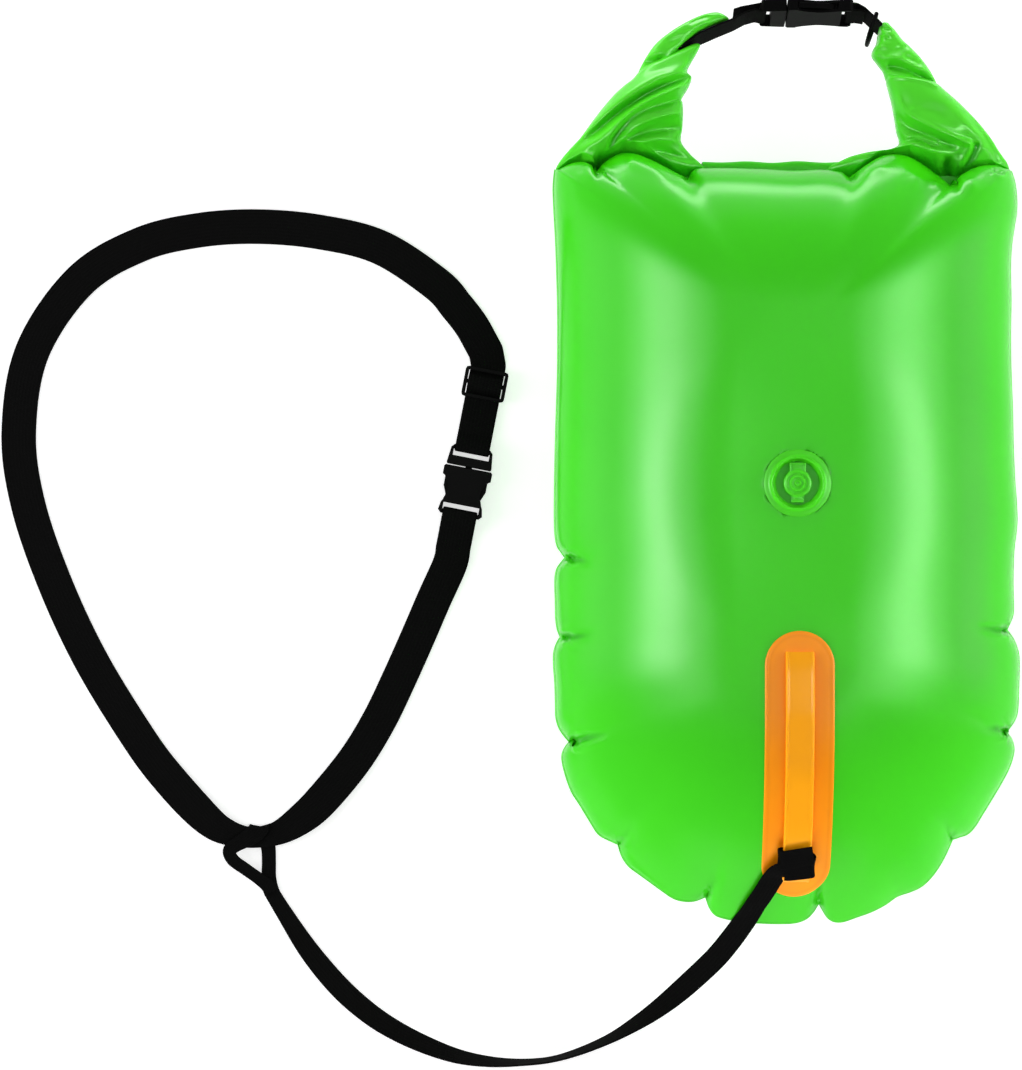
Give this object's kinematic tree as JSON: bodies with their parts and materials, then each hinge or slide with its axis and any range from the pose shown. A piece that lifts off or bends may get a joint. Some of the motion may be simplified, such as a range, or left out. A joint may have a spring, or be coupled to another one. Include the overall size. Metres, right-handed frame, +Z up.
{
  "type": "open water swim buoy",
  "caption": "Inflatable swim buoy with a roll-top dry bag between welded air chambers, a webbing leash and a waist belt with release buckles.",
  "frame": {"origin": "on the floor under the middle of the belly, where the rear chamber rests", "axes": "+Y from the foot of the bag to its carrying handle, +Z up through the front chamber, +X to the right as seen from above with the handle away from the viewer"},
  "size_m": [0.7228, 0.7574, 0.1668],
  "materials": {
    "front_air_chamber": "glossy welded PVC film",
    "rear_air_chamber": "glossy welded PVC film",
    "edge_weld_seam": "hot welded PVC edge",
    "dry_bag_pouch": "satin coated PVC sheet",
    "rolled_mouth": "glossy PVC sheet, rolled",
    "mouth_stiffener": "plain strip",
    "roll_arm_left": "glossy PVC sheet, gathered",
    "roll_arm_right": "glossy PVC sheet, gathered",
    "mouth_webbing_left": "woven webbing",
    "mouth_webbing_right": "woven webbing",
    "top_buckle_housing": "moulded acetal",
    "top_buckle_plug": "moulded acetal",
    "top_buckle_left_prong": "moulded acetal",
    "top_buckle_right_prong": "moulded acetal",
    "d_ring": "moulded acetal",
    "handle_patch": "glossy PVC sheet",
    "handle_strip": "glossy PVC strip",
    "front_valve_flange": "soft moulded PVC",
    "front_valve_stem": "soft moulded PVC",
    "front_valve_cap": "soft moulded PVC",
    "front_valve_flap": "thin PVC film",
    "rear_valve_flange": "soft moulded PVC",
    "rear_valve_stem": "soft moulded PVC",
    "rear_valve_cap": "soft moulded PVC",
    "rear_valve_flap": "thin PVC film",
    "leash_patch_loop": "woven webbing",
    "leash_webbing": "woven webbing",
    "leash_belt_loop": "woven webbing",
    "belt_webbing": "woven webbing",
    "belt_adjuster_webbing": "woven webbing",
    "belt_sewn_end": "woven webbing",
    "belt_buckle_housing": "moulded acetal",
    "belt_buckle_plug": "moulded acetal",
    "belt_buckle_left_prong": "moulded acetal",
    "belt_buckle_right_prong": "moulded acetal",
    "belt_slider": "moulded acetal"
  },
  "bodies": {
    "buoy": {"front_air_chamber": "front_air_chamber", "rear_air_chamber": "rear_air_chamber", "edge_weld_seam": "edge_weld_seam", "dry_bag_pouch": "dry_bag_pouch", "rolled_mouth": "rolled_mouth", "mouth_stiffener": "mouth_stiffener", "roll_arm_left": "roll_arm_left", "roll_arm_right": "roll_arm_right", "mouth_webbing_left": "mouth_webbing_left", "mouth_webbing_right": "mouth_webbing_right", "top_buckle_housing": "top_buckle_housing", "top_buckle_plug": "top_buckle_plug", "handle_patch": "handle_patch", "handle_strip": "handle_strip", "front_valve_flange": "front_valve_flange", "rear_valve_flange": "rear_valve_flange", "leash_patch_loop": "leash_patch_loop", "leash_webbing": "leash_webbing", "leash_belt_loop": "leash_belt_loop", "belt_webbing": "belt_webbing", "belt_adjuster_webbing": "belt_adjuster_webbing", "belt_sewn_end": "belt_sewn_end", "belt_buckle_housing": "belt_buckle_housing", "belt_buckle_plug": "belt_buckle_plug", "belt_slider": "belt_slider"},
    "front_stem": {"front_valve_stem": "front_valve_stem"},
    "front_cap": {"front_valve_cap": "front_valve_cap"},
    "front_flap": {"front_valve_flap": "front_valve_flap"},
    "rear_stem": {"rear_valve_stem": "rear_valve_stem"},
    "rear_cap": {"rear_valve_cap": "rear_valve_cap"},
    "rear_flap": {"rear_valve_flap": "rear_valve_flap"},
    "top_left_prong": {"top_buckle_left_prong": "top_buckle_left_prong"},
    "top_right_prong": {"top_buckle_right_prong": "top_buckle_right_prong"},
    "belt_left_prong": {"belt_buckle_left_prong": "belt_buckle_left_prong"},
    "belt_right_prong": {"belt_buckle_right_prong": "belt_buckle_right_prong"},
    "ring": {"d_ring": "d_ring"}
  },
  "joints": [
    {"name": "front_stem_slide", "type": "slide", "parent": "buoy", "child": "front_stem", "axis": [0, 0, 1], "range_m": [0, 0.008]},
    {"name": "front_cap_hinge", "type": "hinge", "parent": "front_stem", "child": "front_cap", "pos_m": [0.0032, 0.0295, 0.158], "axis": [1, 0, 0], "range_deg": [0, 110]},
    {"name": "front_flap_hinge", "type": "hinge", "parent": "front_stem", "child": "front_flap", "pos_m": [0.0032, 0.0349, 0.14075], "axis": [-1, 0, 0], "range_deg": [0, 35], "stiffness_Nm_per_rad": 0.0002, "springref_deg": -11.46},
    {"name": "rear_stem_slide", "type": "slide", "parent": "buoy", "child": "rear_stem", "axis": [0, 0, -1], "range_m": [0, 0.008]},
    {"name": "rear_cap_hinge", "type": "hinge", "parent": "rear_stem", "child": "rear_cap", "pos_m": [0.0032, 0.0295, 0.012], "axis": [-1, 0, 0], "range_deg": [0, 110]},
    {"name": "rear_flap_hinge", "type": "hinge", "parent": "rear_stem", "child": "rear_flap", "pos_m": [0.0032, 0.0349, 0.02925], "axis": [1, 0, 0], "range_deg": [0, 35], "stiffness_Nm_per_rad": 0.0002, "springref_deg": -11.46},
    {"name": "top_left_prong_squeeze", "type": "hinge", "parent": "buoy", "child": "top_left_prong", "pos_m": [0.0033, 0.37146, 0.05253], "axis": [0, -0.9659, 0.2588], "range_deg": [0, 11], "stiffness_Nm_per_rad": 0.04},
    {"name": "top_right_prong_squeeze", "type": "hinge", "parent": "buoy", "child": "top_right_prong", "pos_m": [0.0033, 0.37654, 0.07147], "axis": [0, 0.9659, -0.2588], "range_deg": [0, 11], "stiffness_Nm_per_rad": 0.04},
    {"name": "belt_left_prong_squeeze", "type": "hinge", "parent": "buoy", "child": "belt_left_prong", "pos_m": [-0.21322, 0.05107, 0.0047], "axis": [0, 0, -1], "range_deg": [0, 16], "stiffness_Nm_per_rad": 0.04},
    {"name": "belt_right_prong_squeeze", "type": "hinge", "parent": "buoy", "child": "belt_right_prong", "pos_m": [-0.23246, 0.05481, 0.0047], "axis": [0, 0, 1], "range_deg": [0, 16], "stiffness_Nm_per_rad": 0.04},
    {"name": "d_ring_swing", "type": "hinge", "parent": "buoy", "child": "ring", "pos_m": [0.06433, 0.3691, 0.06331], "axis": [0, -0.2588, -0.9659], "range_deg": [-15, 50]}
  ]
}
